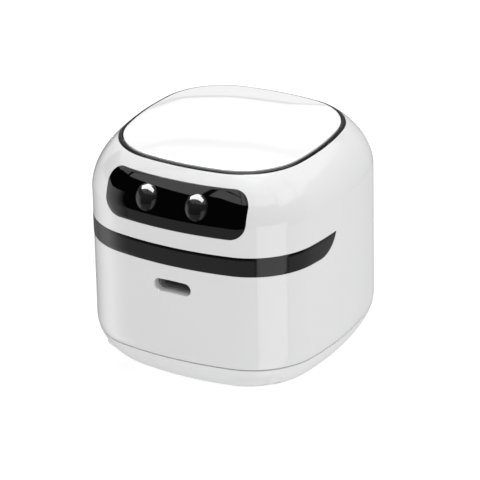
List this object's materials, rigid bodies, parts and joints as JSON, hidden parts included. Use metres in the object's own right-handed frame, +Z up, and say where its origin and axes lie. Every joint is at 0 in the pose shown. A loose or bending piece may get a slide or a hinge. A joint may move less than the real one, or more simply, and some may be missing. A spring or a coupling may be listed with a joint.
{
  "type": "desktop coding robot",
  "caption": "Small cube-shaped coding robot with a rounded glossy shell, a dark face visor with dome eyes, a press-down top cap and hidden drive wheels.",
  "frame": {"origin": "on the floor under the middle of the robot", "axes": "+Z up, the face looks along -Y, +X is to the right of someone facing the robot"},
  "size_m": [0.056, 0.0569, 0.0563],
  "materials": {
    "white_gloss": "high-gloss moulded white",
    "white_cap": "high-gloss moulded white",
    "white_base": "satin-gloss moulded white",
    "black_ring": "polished black",
    "black_visor": "polished piano black",
    "eye_lens": "polished black dome",
    "dark_band": "smoked gloss, passes infrared",
    "port_metal": "plated steel",
    "black_plastic": "fine matt",
    "switch_stem": "natural nylon",
    "steel": "zinc-plated",
    "wheel_plastic": "moulded grey",
    "tyre_rubber": "soft matt rubber",
    "gear_plastic": "natural acetal",
    "axle_steel": "ground steel",
    "motor_can": "drawn steel can",
    "frame_plastic": "moulded grey",
    "cup_plastic": "moulded light grey",
    "ball_steel": "polished steel",
    "circuit_board": "green solder mask",
    "module_can": "tinned shield",
    "battery_wrap": "silver pouch",
    "led_clear": "clear epoxy"
  },
  "bodies": {
    "casing": {"body_shell": "white_gloss", "base_tray": "white_base", "top_ring": "black_ring", "visor": "black_visor", "eye_lens_left": "eye_lens", "eye_lens_right": "eye_lens", "light_band": "dark_band", "usb_port_shell": "port_metal", "usb_port_tongue": "black_plastic", "tactile_switch": "black_plastic", "buzzer": "black_plastic", "sensor_window": "black_plastic", "power_switch_body": "black_plastic", "ir_receiver": "black_plastic", "colour_sensor": "black_plastic", "button_spring": "steel", "base_screws": "steel", "gearbox_screws": "steel", "board_screws": "steel", "frame_screws": "steel", "cover_screws": "steel", "compound_axle_right": "axle_steel", "motor_right": "motor_can", "gearbox_frame_right": "frame_plastic", "gearbox_cover_right": "frame_plastic", "compound_axle_left": "axle_steel", "motor_left": "motor_can", "gearbox_frame_left": "frame_plastic", "gearbox_cover_left": "frame_plastic", "mid_frame": "frame_plastic", "caster_cup_front": "cup_plastic", "caster_cup_rear": "cup_plastic", "main_board": "circuit_board", "button_board": "circuit_board", "eye_board": "circuit_board", "sensor_board": "circuit_board", "underside_board": "circuit_board", "radio_module": "module_can", "battery": "battery_wrap", "eye_leds": "led_clear", "ir_emitters": "led_clear"},
    "top_button": {"top_cap": "white_cap", "switch_stem": "switch_stem"},
    "power_knob": {"power_switch_knob": "black_plastic"},
    "ball_front": {"caster_ball_front": "ball_steel"},
    "ball_rear": {"caster_ball_rear": "ball_steel"},
    "wheel_right": {"wheel_hub_right": "wheel_plastic", "tyre_right": "tyre_rubber", "wheel_gear_right": "gear_plastic", "wheel_axle_right": "axle_steel"},
    "idler_right": {"compound_gear_right": "gear_plastic"},
    "rotor_right": {"motor_pinion_right": "gear_plastic", "motor_shaft_right": "axle_steel"},
    "wheel_left": {"wheel_hub_left": "wheel_plastic", "tyre_left": "tyre_rubber", "wheel_gear_left": "gear_plastic", "wheel_axle_left": "axle_steel"},
    "idler_left": {"compound_gear_left": "gear_plastic"},
    "rotor_left": {"motor_pinion_left": "gear_plastic", "motor_shaft_left": "axle_steel"}
  },
  "joints": [
    {"name": "wheel_right_spin", "type": "hinge", "parent": "casing", "child": "wheel_right", "pos_m": [0.0131, 0, 0.011], "axis": [1, 0, 0], "continuous": true},
    {"name": "idler_right_spin", "type": "hinge", "parent": "casing", "child": "idler_right", "pos_m": [0.007, 0.008, 0.017], "axis": [1, 0, 0], "continuous": true},
    {"name": "motor_right_spin", "type": "hinge", "parent": "casing", "child": "rotor_right", "pos_m": [0.0059, 0.0175, 0.017], "axis": [1, 0, 0], "continuous": true},
    {"name": "wheel_left_spin", "type": "hinge", "parent": "casing", "child": "wheel_left", "pos_m": [-0.0131, 0, 0.011], "axis": [1, 0, 0], "continuous": true},
    {"name": "idler_left_spin", "type": "hinge", "parent": "casing", "child": "idler_left", "pos_m": [-0.007, -0.008, 0.017], "axis": [1, 0, 0], "continuous": true},
    {"name": "motor_left_spin", "type": "hinge", "parent": "casing", "child": "rotor_left", "pos_m": [-0.0059, -0.0175, 0.017], "axis": [1, 0, 0], "continuous": true},
    {"name": "ball_front_roll", "type": "hinge", "parent": "casing", "child": "ball_front", "pos_m": [0, -0.012, 0.0032], "axis": [1, 0, 0], "continuous": true},
    {"name": "ball_rear_roll", "type": "hinge", "parent": "casing", "child": "ball_rear", "pos_m": [0, 0.012, 0.0032], "axis": [1, 0, 0], "continuous": true},
    {"name": "top_button_press", "type": "slide", "parent": "casing", "child": "top_button", "axis": [0, 0, -1], "range_m": [0, 0.001], "stiffness_N_per_m": 400, "springref_m": -0.002, "deforming": ["button_spring"]},
    {"name": "power_switch_slide", "type": "slide", "parent": "casing", "child": "power_knob", "axis": [0, 1, 0], "range_m": [0, 0.002]}
  ],
  "couplings": [
    {"joint": "idler_right_spin", "follows": "wheel_right_spin", "ratio": -1.8571},
    {"joint": "motor_right_spin", "follows": "wheel_right_spin", "ratio": 3.1837},
    {"joint": "idler_left_spin", "follows": "wheel_left_spin", "ratio": -1.8571},
    {"joint": "motor_left_spin", "follows": "wheel_left_spin", "ratio": 3.1837}
  ]
}
